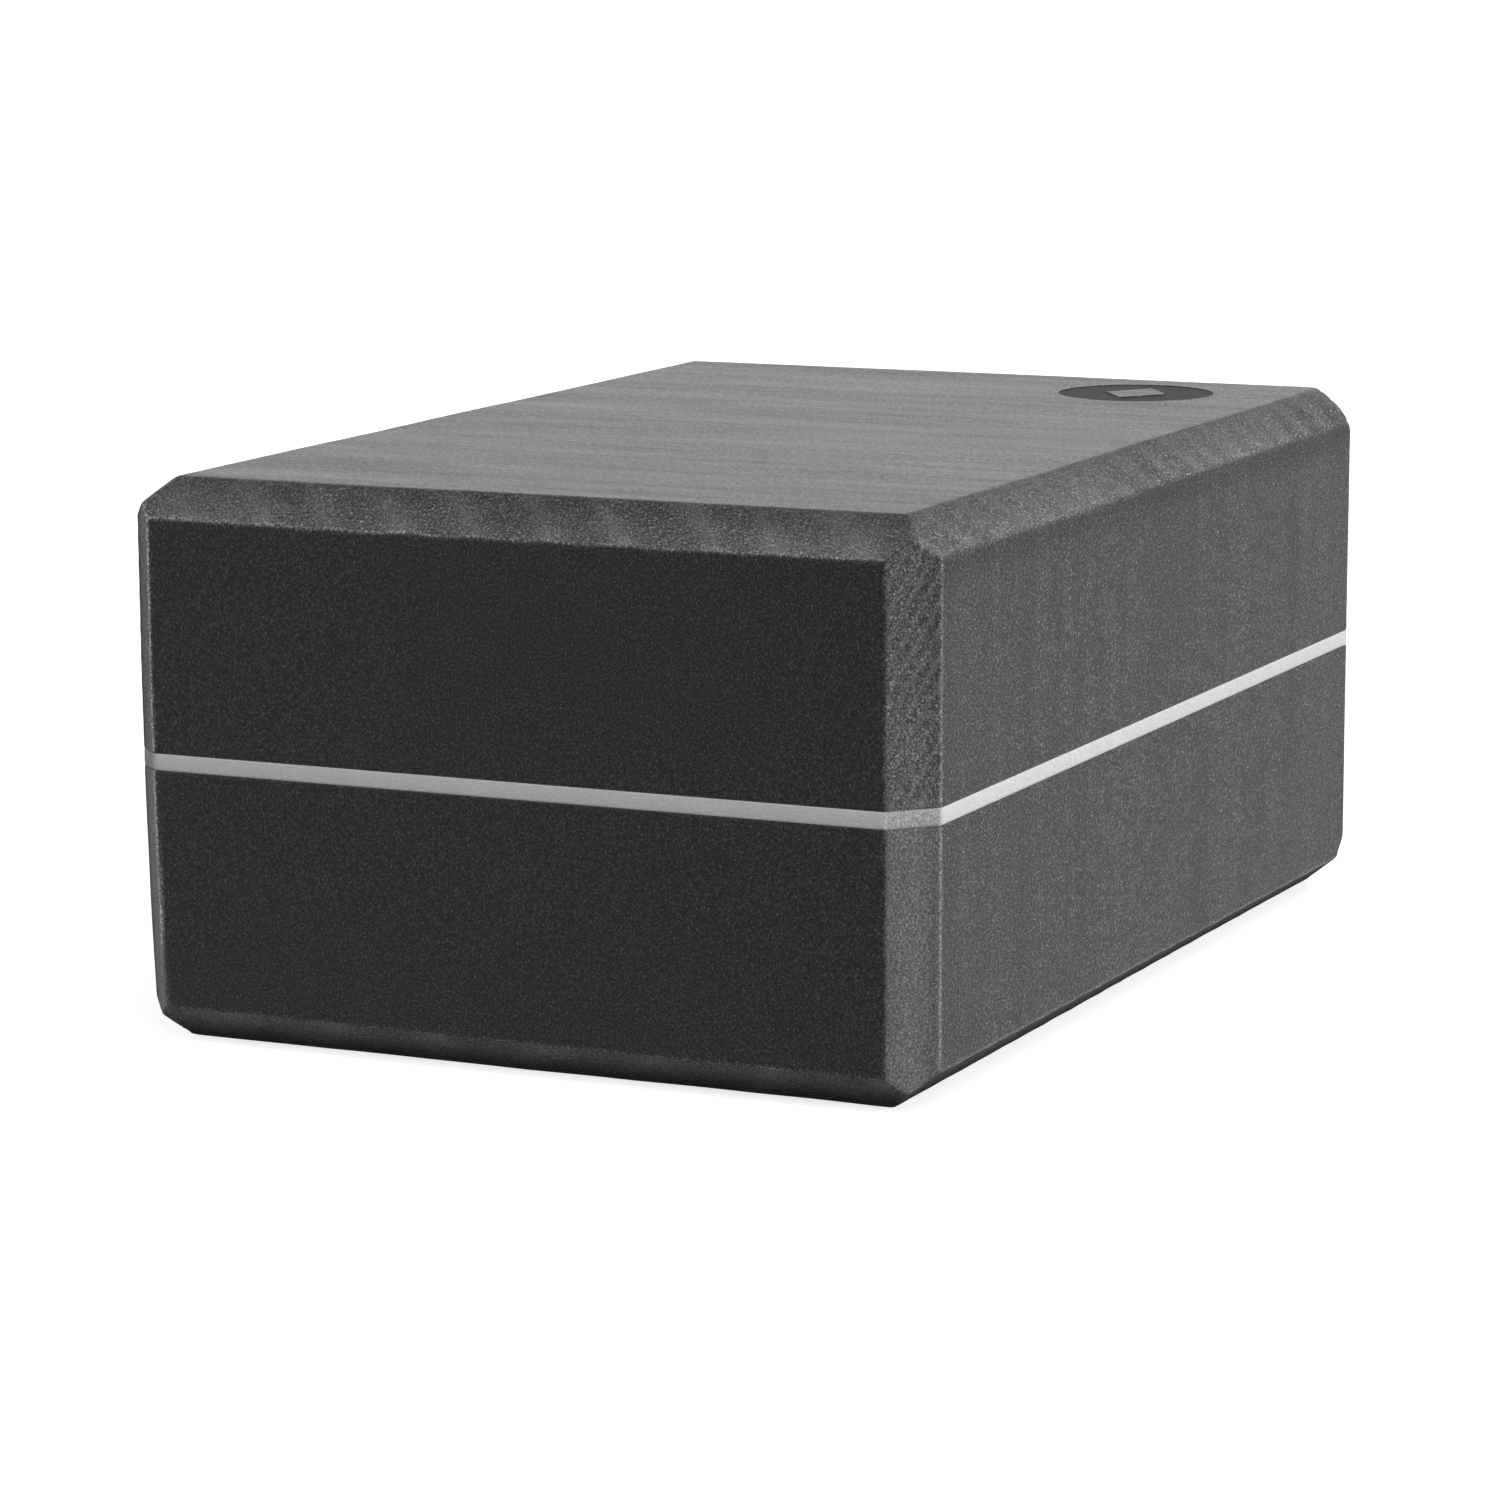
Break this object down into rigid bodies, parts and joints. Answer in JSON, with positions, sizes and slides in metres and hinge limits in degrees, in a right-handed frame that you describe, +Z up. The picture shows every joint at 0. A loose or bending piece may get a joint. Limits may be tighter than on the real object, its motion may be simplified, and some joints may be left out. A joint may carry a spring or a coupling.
{
  "type": "foam exercise block",
  "caption": "Bevelled rectangular block of firm charcoal foam with a thin white stripe round its middle, for support, balance and stretching exercises.",
  "frame": {"origin": "centre of the bottom face, on the surface that the block lies on", "axes": "+X to the right across the width, +Y along the length away from the front end, +Z up through the thickness"},
  "size_m": [0.154, 0.2286, 0.1016],
  "materials": {
    "charcoal_foam": "matte closed-cell EVA foam with a fine grain, cut bevels a little lighter and coarser than the faces",
    "white_foam": "matte white closed-cell EVA foam",
    "glue": "thin translucent contact adhesive",
    "mark_film": "matte black heat-pressed film"
  },
  "bodies": {
    "root": {"upper_foam_slab": "charcoal_foam", "upper_glue_film": "glue", "centre_stripe_sheet": "white_foam", "lower_glue_film": "glue", "lower_foam_slab": "charcoal_foam", "printed_mark": "mark_film"}
  },
  "joints": []
}
